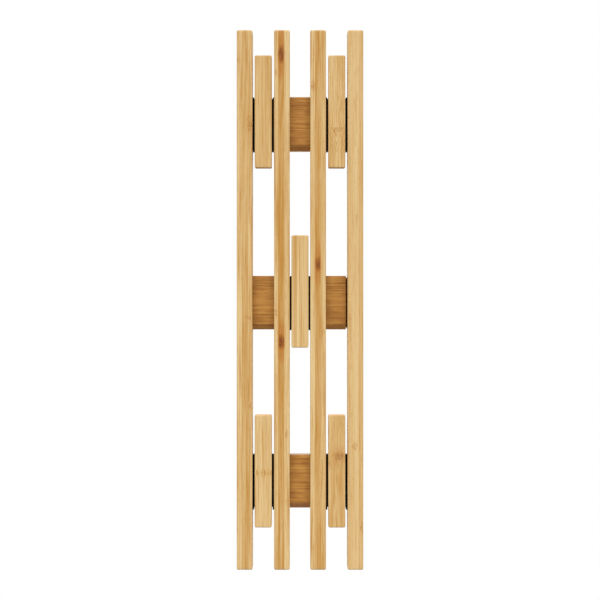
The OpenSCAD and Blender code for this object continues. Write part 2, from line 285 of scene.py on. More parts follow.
class ShaderEffects:
    """The shader groups that more than one finish uses, each built once."""

    @cached_property
    def grain(self) -> NodeTree:
        """Streaks drawn out along Z: slow drifts of tone, streaks, and fine dark fibres.

        Returns:
            The group, which gives Drift, Streak and Fibre, each from 0 to 1.
        """
        graph, given = ShaderGraph.for_group(
            "Bamboo Grain",
            "Vector, Seed, Drift Width, Drift Length, Streak Width, Streak Length, "
            "Fibre Width, Fibre Length",
            "Drift, Streak, Fibre",
        )
        roughness, darkest, palest = 0.6, 0.3, 0.7
        # Each layer's name, its shift of the seed, its detail and its distortion.
        layers = (("Drift", 0.0, 1.0, 0.0), ("Streak", 3.7, 3.0, 0.15), ("Fibre", 8.1, 2.0, 0.0))
        values = {}
        for name, shift, detail, distortion in layers:
            width = given[f"{name} Width"]
            cell = graph.combine(width, width, given[f"{name} Length"])
            value = graph.noise(
                graph.vector("DIVIDE", given["Vector"], cell), graph.plus(given["Seed"], shift),
                detail, roughness, distortion,
            )
            values[name] = graph.ramp(value, darkest, palest, smooth=False)
        return graph.leave(values)

    @cached_property
    def strips(self) -> NodeTree:
        """Three glued strips side by side, with a hairline at each seam.

        Returns:
            The group, which gives Tone, Seam and Strip, the strip's number from 0.
        """
        graph, given = ShaderGraph.for_group(
            "Bamboo Strips",
            "Across, First Seam, Second Seam, First Tone, Middle Tone, Last Tone, Seam Width",
            "Tone, Seam, Strip",
        )
        half = graph.times(given["Seam Width"], 0.5)
        tone, hairline, strip = given["First Tone"], 0.0, 0.0
        for seam, following in (("First Seam", "Middle Tone"), ("Second Seam", "Last Tone")):
            offset = graph.minus(given["Across"], given[seam])
            past = graph.ramp(offset, graph.times(half, -1.0), half)
            tone = graph.scaled(past, graph.minus(given[following], tone), tone)
            near = graph.ramp(graph.math("ABSOLUTE", offset), given["Seam Width"], 0.0)
            hairline = graph.math("MAXIMUM", hairline, near)
            strip = graph.plus(strip, graph.math("GREATER_THAN", offset, 0.0))
        return graph.leave({"Tone": tone, "Seam": hairline, "Strip": strip})

    @cached_property
    def knuckle(self) -> NodeTree:
        """The mark of a joint of the cane: a halo, a stain, a dark core, flecks, and parted fibres.

        Returns:
            The group, which gives Halo, Stain, Core, Fleck and Push Vector.
        """
        graph, given = ShaderGraph.for_group(
            "Bamboo Knuckle", "Vector, Across, Along, Half Width, Half Length, Ragged, Curl",
            "Halo, Stain, Core, Fleck, Push Vector",
        )
        x, _, z = graph.split(given["Vector"])
        aside = graph.minus(x, given["Across"])
        across = graph.over(aside, given["Half Width"])
        along = graph.over(graph.minus(z, given["Along"]), given["Half Length"])
        squareness, stretch = 3.0, -0.14
        wide = graph.math("POWER", graph.math("ABSOLUTE", across), squareness)
        tall = graph.times(along, along)
        body = graph.minus(graph.minus(1.0, wide), tall)
        drawn_out = graph.scaled(tall, stretch, graph.minus(1.0, wide))
        # How much of each noise frays the mark's edge, and twists its core.
        frayed = graph.scaled(given["Curl"], 0.4, graph.times(given["Ragged"], 0.6))
        twisted = graph.scaled(given["Curl"], 0.9, graph.times(given["Ragged"], 0.3))
        # Each mask's shape and its weight, the noise that frays it, and where it starts and is full.
        masks = {
            "Halo": (drawn_out, 0.75, frayed, 0.62, 1.15),
            "Stain": (body, 0.6, frayed, 0.72, 1.0),
            "Core": (body, 0.42, twisted, 0.86, 1.08),
        }
        values = {
            name: graph.ramp(graph.scaled(shape, weight, noise), start, full)
            for name, (shape, weight, noise, start, full) in masks.items()
        }
        # Flecks come where the curled noise is high, and thin out across the body's edge.
        curled, near = (0.48, 0.6), (-0.3, 0.4)
        values["Fleck"] = graph.times(graph.ramp(given["Curl"], *curled), graph.ramp(body, *near))
        reach, strength = -0.8, -0.6
        parting = graph.math("EXPONENT", graph.times(graph.scaled(across, across, tall), reach))
        push = graph.times(graph.times(aside, parting), strength)
        values["Push Vector"] = graph.combine(push, 0.0, 0.0)
        return graph.leave(values)

    @cached_property
    def arrows(self) -> NodeTree:
        """Nested V lines where a strip is cut across the curve of the cane.

        Returns:
            The group, which gives Lines from 0 to 1.
        """
        graph, given = ShaderGraph.for_group(
            "Bamboo Arrows", "Vector, Along, Reach, Slope, Spacing, Ragged", "Lines")
        wobble, line_start, line_full = 9.0 * MM, -0.2, 1.0
        full_after, fades_after, unbroken = 0.15, 0.4, (0.35, 0.6)
        x, _, z = graph.split(given["Vector"])
        side = graph.times(graph.math("ABSOLUTE", x), given["Slope"])
        bent = graph.scaled(graph.minus(given["Ragged"], 0.5), wobble, graph.minus(z, side))
        turns = graph.times(graph.over(bent, given["Spacing"]), 2 * math.pi)
        wave = graph.ramp(graph.math("SINE", turns), line_start, line_full)
        below = graph.minus(given["Along"], z)
        inside = graph.times(
            graph.ramp(below, 0.0, graph.times(given["Reach"], full_after)),
            graph.ramp(below, given["Reach"], graph.times(given["Reach"], fades_after)),
        )
        broken = graph.times(wave, graph.ramp(given["Ragged"], *unbroken))
        return graph.leave({"Lines": graph.times(broken, inside)})

    @cached_property
    def end_grain(self) -> NodeTree:
        """Marks the sawn ends, where the fibres show as dark dots.

        Returns:
            The group, which gives End, 1 on an end face, and Dots.
        """
        graph, given = ShaderGraph.for_group("Bamboo End Grain", "Vector, Along, Dot Size", "End, Dots")
        oblique, square_on, rim, pith = 0.6, 0.9, 0.42, 0.2
        end = graph.ramp(graph.math("ABSOLUTE", given["Along"]), oblique, square_on)
        flat = graph.vector("MULTIPLY", given["Vector"], (1.0, 1.0, 0.0))
        cell = graph.combine(given["Dot Size"], given["Dot Size"], 1.0)
        place = graph.vector("DIVIDE", flat, cell)
        reach = graph.put("ShaderNodeTexVoronoi", {"Vector": place, "Scale": 1.0})
        return graph.leave({"End": end, "Dots": graph.times(graph.ramp(reach, rim, pith), end)})

    @cached_property
    def grit(self) -> NodeTree:
        """Fine even grain, for powder coat, moulded rubber and plating.

        Returns:
            The group, which gives Fine and Cloud, both from 0 to 1.
        """
        graph, given = ShaderGraph.for_group("Fine Grit", "Vector, Grain, Seed", "Fine, Cloud")
        cloud_share = 0.04
        size = graph.combine(given["Grain"], given["Grain"], given["Grain"])
        place = graph.vector("DIVIDE", given["Vector"], size)
        wide = graph.vector("MULTIPLY", place, (cloud_share,) * 3)
        return graph.leave({
            "Fine": graph.noise(place, given["Seed"]),
            "Cloud": graph.noise(wide, given["Seed"], detail=3.0),
        })


EFFECTS = ShaderEffects()


# ---- finishes


class Grain(Enum):
    """Which way the cane's fibres run in a piece."""

    UPRIGHT = "upright"
    CROSSWISE = "crosswise"


@dataclass(frozen=True)
class Knuckle:
    """One mark of a cane joint, in millimetres: across from the piece's middle, along from the rack's."""

    across: float
    along: float
    half_width: float
    half_length: float
    stain: float
    fleck: float = 0.6


@dataclass(frozen=True)
class Arrows:
    """Nested V lines below a cane joint. Sizes and places are in millimetres."""

    along: float
    reach: float
    slope: float = 2.6
    spacing: float = 9.0


@dataclass(frozen=True)
class Strips:
    """Where the two seams run, in millimetres from the piece's middle, and each strip's tone, 0 to 1."""

    first_seam: float = -20.0
    second_seam: float = 20.0
    first: float = 0.6
    middle: float = 0.6
    last: float = 0.6
    hairline: float = 0.3


@dataclass(frozen=True)
class BambooFinish:
    """Lacquered laminated bamboo with this piece's own strips, streaks and cane joints.

    Drift, streak and fibre are the width and length of a patch, a streak and a fibre, in millimetres. Run
    draws out the streaks and fibres, where the strip is cut far from a cane joint.
    """

    name: str
    seed: float
    pale: Colour = srgb(233, 202, 146)
    deep: Colour = srgb(196, 142, 62)
    honey: Colour = srgb(188, 128, 50)
    amber: Colour = srgb(186, 112, 34)
    umber: Colour = srgb(158, 84, 16)
    dark: Colour = srgb(104, 46, 4)
    strips: Strips = Strips()
    knuckles: tuple[Knuckle, ...] = ()
    arrows: Arrows | None = None
    grain: Grain = Grain.UPRIGHT
    drift: Pair = (5.0, 160.0)
    streak: Pair = (1.6, 62.0)
    fibre: Pair = (0.55, 10.0)
    run: float = 1.0
    contrast: float = 0.8
    fibre_depth: float = 0.6

    # How strongly each layer shows, from 0 to 1.
    DRIFT_SHARE = 0.55
    STREAK_SHARE = 0.8
    WARM_SHARE = 0.6
    SEAM_SHARE = 0.3
    ARROW_SHARE = 0.7
    END_SHARE = 0.35
    DOT_SHARE = 0.55
    MARKS = (
        ("Halo", 0.6, "amber"), ("Stain", 0.7, "umber"), ("Fleck", 0.9, "honey"), ("Core", 0.85, "dark"),
    )

    # Which values of a streak turn warm, and of a fibre dark: from not at all to fully.
    WARM_STREAK = (0.4, 0.08)
    DARK_FIBRE = (0.35, 0.0)

    # Cells of noise per metre across, through and along the fibres.
    RAGGED_CELLS = (1300.0, 1300.0, 90.0)
    CURL_CELLS = (760.0, 760.0, 300.0)

    # Millimetres.
    DOT_SIZE = 0.9
    BUMP_DEPTH = 0.04

    # The lacquer: how rough it is over a dark and a pale fibre, and how much more on a sawn end.
    FIBRE_ROUGHNESS = (0.46, 0.36)
    SAWN_ROUGHNESS = 0.2
    FIBRE_RELIEF = 0.5
    BUMP_STRENGTH = 0.25
    SPECULAR = 0.3

    STRIP_SEED_STEP = 5.3

    def build(self, centre: Vector) -> Material:
        """Makes the material.

        Args:
            centre: The middle of the piece, which the strips are measured from.

        Returns:
            The finished material.
        """
        material, graph = ShaderGraph.for_material(self.name)
        place, along = self.place(graph, centre)
        ragged_place = graph.vector("MULTIPLY", place, self.RAGGED_CELLS)
        curl_place = graph.vector("MULTIPLY", place, self.CURL_CELLS)
        masks = {
            "Place": place,
            "Ragged": graph.noise(ragged_place, self.seed, detail=3.0, roughness=0.6),
            "Curl": graph.noise(curl_place, self.seed, detail=3.0, roughness=0.6, distortion=1.2),
        }
        self.mark_knuckles(graph, masks)
        masks.update(graph.group(EFFECTS.strips, {
            "Across": graph.split(place)[0], "First Seam": self.strips.first_seam * MM,
            "Second Seam": self.strips.second_seam * MM, "First Tone": self.strips.first,
            "Middle Tone": self.strips.middle, "Last Tone": self.strips.last,
            "Seam Width": self.strips.hairline * MM,
        }))
        masks.update(graph.group(EFFECTS.grain, {
            "Vector": masks["Parted"],
            "Seed": graph.scaled(masks["Strip"], self.STRIP_SEED_STEP, self.seed),
            "Drift Width": self.drift[0] * MM, "Drift Length": self.drift[1] * MM,
            "Streak Width": self.streak[0] * MM, "Streak Length": self.streak[1] * self.run * MM,
            "Fibre Width": self.fibre[0] * MM, "Fibre Length": self.fibre[1] * self.run * MM,
        }))
        ends = graph.group(EFFECTS.end_grain, {
            "Vector": place, "Along": along, "Dot Size": self.DOT_SIZE * MM,
        })
        colour = self.colour(graph, masks)
        colour = graph.blend(graph.times(ends["End"], self.END_SHARE), colour, self.amber)
        colour = graph.blend(graph.times(ends["Dots"], self.DOT_SHARE), colour, self.dark)
        relief = graph.scaled(masks["Fibre"], self.FIBRE_RELIEF, graph.times(masks["Fleck"], -1.0))
        bump = graph.put("ShaderNodeBump", {
            "Strength": self.BUMP_STRENGTH, "Distance": self.BUMP_DEPTH * MM, "Height": relief,
        })
        sanded = graph.ramp(masks["Fibre"], 0.0, 1.0, *self.FIBRE_ROUGHNESS)
        graph.dress({
            "Base Color": colour, "Roughness": graph.scaled(ends["End"], self.SAWN_ROUGHNESS, sanded),
            "Normal": bump, "Specular IOR Level": self.SPECULAR,
        })
        return material

    def place(self, graph: ShaderGraph, centre: Vector) -> tuple[Socket, Socket]:
        """Object coordinates with the fibres turned upright and the strips centred.

        Args:
            graph: The material's graph.
            centre: The middle of the piece.

        Returns:
            The pattern's coordinates, and how far the surface faces along the fibres.
        """
        source = graph.add("ShaderNodeTexCoord").outputs
        facing = graph.split(source["Normal"])
        if self.grain is Grain.UPRIGHT:
            shift, turn, along = (-centre.x, -centre.y, 0.0), 0.0, facing[2]
        else:
            shift, turn, along = (0.0, -centre.y, -centre.z), math.pi / 2, facing[0]
        moved = graph.put("ShaderNodeMapping", {"Vector": source["Object"], "Location": shift})
        turned = graph.put("ShaderNodeMapping", {"Vector": moved, "Rotation": (0.0, turn, 0.0)})
        return turned, along

    def mark_knuckles(self, graph: ShaderGraph, masks: dict[str, Value]) -> None:
        """Adds up the masks of every cane joint on the piece, and parts the fibres round them.

        Args:
            graph: The material's graph.
            masks: The pattern's coordinates and noises, which the cane joints' masks join.
        """
        masks.update({name: 0.0 for name, _, _ in self.MARKS}, Parted=masks["Place"])
        for mark in self.knuckles:
            spot = graph.group(EFFECTS.knuckle, {
                "Vector": masks["Place"], "Across": mark.across * MM, "Along": mark.along * MM,
                "Half Width": mark.half_width * MM, "Half Length": mark.half_length * MM,
                "Ragged": masks["Ragged"], "Curl": masks["Curl"],
            })
            for name, _, _ in self.MARKS:
                strength = mark.fleck if name == "Fleck" else mark.stain
                masks[name] = graph.math("MAXIMUM", masks[name], graph.times(spot[name], strength))
            masks["Parted"] = graph.vector("ADD", masks["Parted"], spot["Push Vector"])

    def colour(self, graph: ShaderGraph, masks: dict[str, Value]) -> Socket:
        """Lays the colours over each other, from the strips' tone to the dark flecks.

        Args:
            graph: The material's graph.
            masks: Every mask by name.

        Returns:
            The colour's socket.
        """
        drift = graph.times(graph.minus(masks["Drift"], 0.5), self.DRIFT_SHARE * self.contrast)
        streak = graph.times(graph.minus(masks["Streak"], 0.5), self.STREAK_SHARE * self.contrast)
        tone = graph.math("ADD", graph.plus(masks["Tone"], drift), streak, clamp=True)
        colour = graph.blend(tone, self.deep, self.pale)
        warm = graph.ramp(masks["Streak"], *self.WARM_STREAK, 0.0, self.WARM_SHARE * self.contrast)
        fibre = graph.ramp(masks["Fibre"], *self.DARK_FIBRE, 0.0, self.fibre_depth)
        for share in (warm, graph.times(masks["Seam"], self.SEAM_SHARE), fibre):
            colour = graph.blend(share, colour, self.honey)
        if self.arrows:
            lines = graph.group(EFFECTS.arrows, {
                "Vector": masks["Place"], "Along": self.arrows.along * MM, "Reach": self.arrows.reach * MM,
                "Slope": self.arrows.slope, "Spacing": self.arrows.spacing * MM, "Ragged": masks["Ragged"],
            })["Lines"]
            colour = graph.blend(graph.times(lines, self.ARROW_SHARE), colour, self.honey)
        if self.knuckles:
            for name, share, tint in self.MARKS:
                colour = graph.blend(graph.times(masks[name], share), colour, getattr(self, tint))
        return colour


@dataclass(frozen=True)
class CoatedFinish:
    """A plain coated, plated or moulded surface. Its grain is the size of its grit, in millimetres."""

    name: str
    colour: Colour
    faded: Colour
    metallic: float
    roughness: float
    grain: float
    relief: float
    specular: float = 0.5

    # The values of the coarse noise that fade the colour, and of the fine one that dull the gloss.
    FADING = (0.4, 0.7)
    DULLING = (0.3, 0.7)
    GLOSS_SPREAD = 0.06
    BUMP_DEPTH = 0.03
    SEED = 4.0

    def build(self) -> Material:
        """Makes the material.

        Returns:
            The finished material.
        """
        material, graph = ShaderGraph.for_material(self.name)
        place = graph.add("ShaderNodeTexCoord").outputs["Object"]
        grit = graph.group(EFFECTS.grit, {"Vector": place, "Grain": self.grain * MM, "Seed": self.SEED})
        colour = graph.blend(graph.ramp(grit["Cloud"], *self.FADING), self.colour, self.faded)
        bump = graph.put("ShaderNodeBump", {
            "Strength": self.relief, "Distance": self.BUMP_DEPTH * MM, "Height": grit["Fine"],
        })
        smoothest, roughest = self.roughness - self.GLOSS_SPREAD, self.roughness + self.GLOSS_SPREAD
        gloss = graph.ramp(grit["Fine"], *self.DULLING, smoothest, roughest)
        graph.dress({
            "Base Color": colour, "Metallic": self.metallic, "Roughness": gloss, "Normal": bump,
            "Specular IOR Level": self.specular,
        })
        return material


# Near-black coat of the brackets and pins: partly the steel's own black, partly painted shade. It is
# darkened far below real powder coat to stand in for the shade in the narrow gaps beside the pegs and on
# the ears' rounded ends.
BLACK_COAT_AND_GAP_SHADE = CoatedFinish(
    "black_powder_coat", srgb(2, 1, 1), srgb(4, 3, 3), metallic=0.0, roughness=0.52, grain=0.25,
    relief=0.25, specular=0.05,
)
ZINC = CoatedFinish(
    "zinc_plate", srgb(196, 198, 200), srgb(168, 170, 174), metallic=1.0, roughness=0.34, grain=0.3,
    relief=0.15,
)
RUBBER = CoatedFinish(
    "black_rubber", srgb(30, 30, 30), srgb(40, 39, 38), metallic=0.0, roughness=0.72, grain=0.4,
    relief=0.4, specular=0.3,
)


# ---- shapes from geometry nodes


def new_object(name: str, data: ID) -> Object:
    """Puts a new object in the scene.

    Args:
        name: The object's name.
        data: Its mesh, lamp or camera.

    Returns:
        The object.
    """
    made = bpy.data.objects.new(name, data)
    bpy.context.scene.collection.objects.link(made)
    return made


class ShapeGraph(Graph):
    """A Geometry Nodes tree being written, which runs on a mesh of points, one for each copy.

    Besides its sizes, a tree takes Facing, the way that a copy's Z turns, and Seed, for its random turns.
    """

    def __init__(self, name: str, inputs: dict[str, str]) -> None:
        """Starts the tree.

        Args:
            name: The tree's name.
            inputs: The name of each size to its socket kind, such as "Float" or "Int".
        """
        super().__init__(bpy.data.node_groups.new(name, "GeometryNodeTree"))
        interface = self.tree.interface
        every = {"Facing": "Vector", "Seed": "Int", "Material": "Material"}
        for socket, kind in {"Points": "Geometry", **inputs, **every}.items():
            interface.new_socket(socket, in_out="INPUT", socket_type=f"NodeSocket{kind}")
        interface.new_socket("Geometry", in_out="OUTPUT", socket_type="NodeSocketGeometry")
        self.given = named(self.add("NodeGroupInput").outputs)

    def profile(self, width: Socket, height: Socket, shares: Iterable[Pair]) -> Profile:
        """Turns shares of a width and of a height into the points of a profile."""
        return [(self.times(width, out), self.times(height, up)) for out, up in shares]

    def turned(self, profile: Profile, sides: int) -> Socket:
        """Spins a profile round Z into a closed shape.

        Args:
            profile: Radius and height of each point, from the bottom of the axis to its top.
            sides: How many sides the shape has.

        Returns:
            The shape's geometry socket.
        """
        rows = len(profile)
        weld = 0.002 * MM
        grid = self.put("GeometryNodeMeshGrid", {"Vertices X": sides + 1, "Vertices Y": rows})
        index = self.put("GeometryNodeInputIndex")
        row = self.math("MODULO", index, float(rows))
        column = self.math("FLOOR", self.over(self.plus(index, 0.5), float(rows)))
        angle = self.times(column, 2 * math.pi / sides)
        switch = self.add("GeometryNodeIndexSwitch", data_type="VECTOR")
        while len(switch.index_switch_items) < rows:
            switch.index_switch_items.new()
        self.feed(switch.inputs["Index"], row)
        for place, (radius, height) in enumerate(profile):
            self.feed(switch.inputs[place + 1], self.combine(radius, 0.0, height))
        out, _, up = self.split(switch.outputs[0])
        spun = self.combine(
            self.times(out, self.math("COSINE", angle)), self.times(out, self.math("SINE", angle)), up)
        moved = self.put("GeometryNodeSetPosition", {"Geometry": grid, "Position": spun})
        return self.put("GeometryNodeMergeByDistance", {"Geometry": moved, "Distance": weld})

    def softened(self, geometry: Socket, sharp: float = 0.6) -> Socket:
        """Shades a shape smooth, apart from edges sharper than an angle.

        Args:
            geometry: The shape.
            sharp: The angle in radians.

        Returns:
            The shaded shape.
        """
        smooth = self.put("GeometryNodeSetShadeSmooth", {"Geometry": geometry}, domain="FACE")
        angle = self.put("GeometryNodeInputMeshEdgeAngle")
        chosen = self.put("FunctionNodeCompare", {0: angle, 1: sharp}, operation="GREATER_THAN")
        return self.put(
            "GeometryNodeSetShadeSmooth",
            {"Geometry": smooth, "Selection": chosen, "Shade Smooth": False}, domain="EDGE",
        )

    def finish(self, shape: Socket, spin: float = 0.0) -> None:
        """Puts the shape on every point, and ends the tree.

        Args:
            shape: The shape, standing along Z with its origin where the point goes.
            spin: The widest angle that a copy may be turned about its own axis, in radians.
        """
        facing = {"Vector": self.given["Facing"]}
        aim = self.put("FunctionNodeAlignRotationToVector", facing, axis="Z")
        limits = {"Min": 0.0, "Max": spin, "Seed": self.given["Seed"]}
        turn = self.add("FunctionNodeRandomValue", limits, data_type="FLOAT")
        angle = next(output for output in turn.outputs if output.enabled)
        about = self.put("FunctionNodeAxisAngleToRotation", {"Axis": (0.0, 0.0, 1.0), "Angle": angle})
        rotation = self.put("FunctionNodeRotateRotation", {0: aim, 1: about}, rotation_space="LOCAL")
        copies = self.put("GeometryNodeInstanceOnPoints", {
            "Points": self.given["Points"], "Instance": shape, "Rotation": rotation,
        })
        real = self.put("GeometryNodeRealizeInstances", {"Geometry": copies})
        dressed = {"Geometry": real, "Material": self.given["Material"]}
        self.add("NodeGroupOutput", {"Geometry": self.put("GeometryNodeSetMaterial", dressed)})

    def stand_in(self, name: str, nodes: list[str], places: list[Vector], sizes: Mapping[str, Value],
                 material: Material, slot: str) -> None:
        """Runs the tree, keeps the result as a plain mesh, and puts it on the frame in place of CAD nodes.

        Args:
            name: The new piece's name.
            nodes: The CAD nodes that it stands for.
            places: Where the copies go, in metres.
            sizes: The tree's inputs by name. Facing is up, and Seed is 0, unless they are given.
            material: The finish.
            slot: Not used.
        """
        points = bpy.data.meshes.new(f"{name}_places")
        points.from_pydata([tuple(place) for place in places], [], [])
        maker = new_object(f"{name}_maker", points)
        modifier = maker.modifiers.new("shape", "NODES")
        modifier.node_group = self.tree
        values = {"Facing": (0.0, 0.0, 1.0), "Seed": 0, **sizes, "Material": material}
        for item in self.tree.interface.items_tree:
            if item.in_out == "INPUT" and item.name in values:
                modifier[item.identifier] = values[item.name]
        depsgraph = bpy.context.evaluated_depsgraph_get()
        mesh = bpy.data.meshes.new_from_object(maker.evaluated_get(depsgraph), depsgraph=depsgraph)
        mesh.name = name
        bpy.data.objects.remove(maker)
        piece = new_object(name, mesh)
        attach(piece, "frame")
        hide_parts(*nodes)
        LOG.info("%s: %d faces in place of %s", name, len(mesh.polygons), ", ".join(nodes))


def paint(node: str, material: Material) -> None:
    """Gives a CAD node its finish.

    Args:
        node: The node's name.
        material: The material for all its slots.
    """
    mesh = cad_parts[node].data
    mesh.materials.clear()
    mesh.materials.append(material)
    LOG.info("%s: %s", node, material.name)


def middle(node: str) -> Vector:
    """The middle of a CAD node's box, in metres."""
    low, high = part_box(node)
    return (low + high) / 2


# ---- sub-assemblies


@dataclass
class Slats:
    """The four upright slats, each cut from its own laminated strips.

    Edge is how far a slat's edges are eased across, through and along it, in millimetres, and rings is how
    many rows of faces that takes.
    """

    edge: Triple = (1.5, 1.2, 2.0)
    rings: int = 4
    finishes: dict[str, BambooFinish] = field(default_factory=lambda: {
        "slat_outer_left": BambooFinish(
            "bamboo_outer_left", 11.0, strips=Strips(-2.6, 3.8, 0.72, 0.38, 0.56),
            knuckles=(
                Knuckle(-7.1, 266, 1.6, 4, 0.1), Knuckle(5.9, 196, 3.4, 9, 0.1, 1.0),
                Knuckle(5.0, -20.5, 3.5, 3, 0.1), Knuckle(6.2, -118, 2, 4.5, 0.15),
            ),
        ),
        "slat_inner_left": BambooFinish(
            "bamboo_inner_left", 23.0, strips=Strips(-4.2, 2.5, 0.7, 0.24, 0.76),
            knuckles=(
                Knuckle(-0.7, 273, 4.5, 15, 1.0), Knuckle(-0.7, -46, 4.5, 13, 1.0),
                Knuckle(-6.4, 252, 1.8, 4, 0.08), Knuckle(-6.6, -14, 1.8, 4.5, 0.08),
                Knuckle(5.8, -149, 2.4, 4, 0.1),
            ),
        ),
        "slat_inner_right": BambooFinish(
            "bamboo_inner_right", 37.0, strips=Strips(-3.4, 3.2, 0.78, 0.29, 0.64),
            knuckles=(
                Knuckle(-0.1, 40, 3.9, 13, 0.85, 0.9), Knuckle(-5.4, 238, 2.8, 6, 0.08, 0.9),
                Knuckle(5.5, -35.5, 2.3, 3, 0.08),
            ),
        ),
        "slat_outer_right": BambooFinish(
            "bamboo_outer_right", 53.0, strips=Strips(-3.5, 3.9, 0.7, 0.82, 0.52), contrast=0.5,
            knuckles=(
                Knuckle(-0.9, -163, 3.6, 4.5, 0.1, 0.7), Knuckle(6.6, -253, 1.8, 7, 0.15),
                Knuckle(-6.1, -19, 2, 4, 0.06, 0.4),
            ),
        ),
    })

    def shape(self) -> ShapeGraph:
        """A bar whose edges and corners are eased, centred on its point.

        Returns:
            The tree, which takes the bar's Size, its Easing along each axis, and Rings across an edge.
        """
        graph = ShapeGraph("Eased Bar", {"Size": "Vector", "Easing": "Vector", "Rings": "Int"})
        given = graph.given
        # Each side of the block has the rings of both its edges, and four rows over its flat part.
        count = graph.scaled(given["Rings"], 2.0, 4.0)
        block = graph.put("GeometryNodeMeshCube", {
            "Size": (2.0, 2.0, 2.0), "Vertices X": count, "Vertices Y": count, "Vertices Z": count,
        })
        place = graph.put("GeometryNodeInputPosition")
        half = graph.vector("MULTIPLY", given["Size"], (0.5, 0.5, 0.5))
        core = graph.vector("SUBTRACT", half, given["Easing"])
        rows = graph.minus(count, 1.0)
        edge_part = graph.over(graph.times(given["Rings"], 2.0), rows)
        edge_start = graph.minus(1.0, edge_part)
        parts = [graph.split(source) for source in (place, core, given["Easing"])]
        # A row that starts an edge counts as part of it, and the flat's own rows stop just short of it.
        tolerance, flat_share = -0.001, 0.98
        laid = []
        for axis in range(3):
            along, flat, easing = (part[axis] for part in parts)
            reach = graph.math("ABSOLUTE", along)
            outside = graph.over(graph.minus(reach, edge_start), edge_part)
            in_edge = graph.math("GREATER_THAN", outside, tolerance)
            edge_place = graph.scaled(graph.math("MAXIMUM", outside, 0.0), easing, flat)
            inner_place = graph.times(flat, flat_share)
            distance = graph.plus(
                graph.times(in_edge, edge_place), graph.times(graph.minus(1.0, in_edge), inner_place))
            laid.append(graph.times(distance, graph.math("SIGN", along)))
        box = graph.combine(*laid)
        far_core = graph.vector("MULTIPLY", core, (-1.0, -1.0, -1.0))
        inside = graph.vector("MINIMUM", graph.vector("MAXIMUM", box, far_core), core)
        out = graph.vector("DIVIDE", graph.vector("SUBTRACT", box, inside), given["Easing"])
        rounded = graph.vector("MULTIPLY", graph.vector("NORMALIZE", out), given["Easing"])
        bar = graph.put("GeometryNodeSetPosition", {
            "Geometry": block, "Position": graph.vector("ADD", inside, rounded),
        })
        graph.finish(graph.softened(bar, sharp=1.0))
        return graph

    def build(self) -> None:
        """Shapes and dresses each slat."""
        shape = self.shape()
        for node, finish in self.finishes.items():
            low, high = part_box(node)
            centre = (low + high) / 2
            easing = tuple(step * MM for step in self.edge)
            sizes = {"Size": tuple(high - low), "Easing": easing, "Rings": self.rings}
            shape.stand_in(f"{node}_bar", [node], [centre], sizes, finish.build(centre), "bamboo")


PEG_WOOD = BambooFinish(
    "bamboo_peg", 0.0, honey=srgb(194, 140, 60), strips=Strips(middle=0.55), streak=(1.0, 46.0),
    fibre=(0.62, 14.0), contrast=0.95, fibre_depth=0.8,
)
CROSS_WOOD = BambooFinish(
    "bamboo_across", 101.0, pale=srgb(202, 148, 72), deep=srgb(150, 96, 36), honey=srgb(124, 70, 20),
    amber=srgb(124, 70, 20), dark=srgb(66, 32, 8), strips=Strips(-14.0, 9.0, 0.5, 0.56, 0.46),
    grain=Grain.CROSSWISE, drift=(7.0, 20.0), streak=(0.62, 46.0), fibre=(0.42, 30.0), contrast=1.1,
)


@dataclass
class Pegs:
    """The five folding pegs, each one wide strip of bamboo."""

    finishes: dict[str, BambooFinish] = field(default_factory=lambda: {
        "peg_top_left": replace(PEG_WOOD, seed=61.0, run=1.8),
        "peg_top_right": replace(
            PEG_WOOD, seed=67.0, knuckles=(Knuckle(0, 189, 9.5, 3.6, 0.1, 1.0),),
            arrows=Arrows(188.0, 36.0),
        ),
        "peg_middle": replace(PEG_WOOD, seed=71.0, strips=Strips(-6.4, -3.8, 0.7, 0.5, 0.74), run=4.0),
        "peg_bottom_left": replace(
            PEG_WOOD, seed=73.0, strips=Strips(middle=0.78), run=1.8,
            knuckles=(Knuckle(0, -192, 8.8, 4, 0.06, 0.85),),
        ),
        "peg_bottom_right": replace(PEG_WOOD, seed=79.0, knuckles=(
            Knuckle(2.4, -174, 8.0, 7.2, 0.36, 1.0), Knuckle(-6.0, -183, 5.0, 5.0, 0.05, 0.5),
        )),
    })

    def build(self) -> None:
        """Gives each peg its finish."""
        for node, finish in self.finishes.items():
            paint(node, replace(finish, name=f"bamboo_{node}").build(middle(node)))


@dataclass
class CrossPieces:
    """The darker rails and blocks, whose many thin strips run across the rack."""

    seed_step: float = 9.0

    def build(self) -> None:
        """Gives each rail and block a finish of its own seed."""
        for place, node in enumerate(BLOCKS + RAILS):
            seed = CROSS_WOOD.seed + self.seed_step * place
            finish = replace(CROSS_WOOD, name=f"bamboo_{node}", seed=seed)
            paint(node, finish.build(middle(node)))


class Head(Enum):
    """How a screw's head is shaped."""

    COUNTERSUNK = "countersunk"
    PAN = "pan"


@dataclass(frozen=True)
class ScrewSize:
    """The sizes of one kind of screw, in millimetres."""

    head: Head
    head_radius: float
    head_height: float
    shank_radius: float
    length: float
    pitch: float


WOOD_SCREW = ScrewSize(Head.COUNTERSUNK, 3.7, 2.2, shank_radius=1.9, length=20.0, pitch=1.9)
BRACKET_SCREW = ScrewSize(Head.PAN, 2.9, 2.0, shank_radius=1.5, length=8.0, pitch=1.4)
PLATE_SCREW = ScrewSize(Head.COUNTERSUNK, 2.6, 1.5, shank_radius=1.25, length=7.0, pitch=1.2)


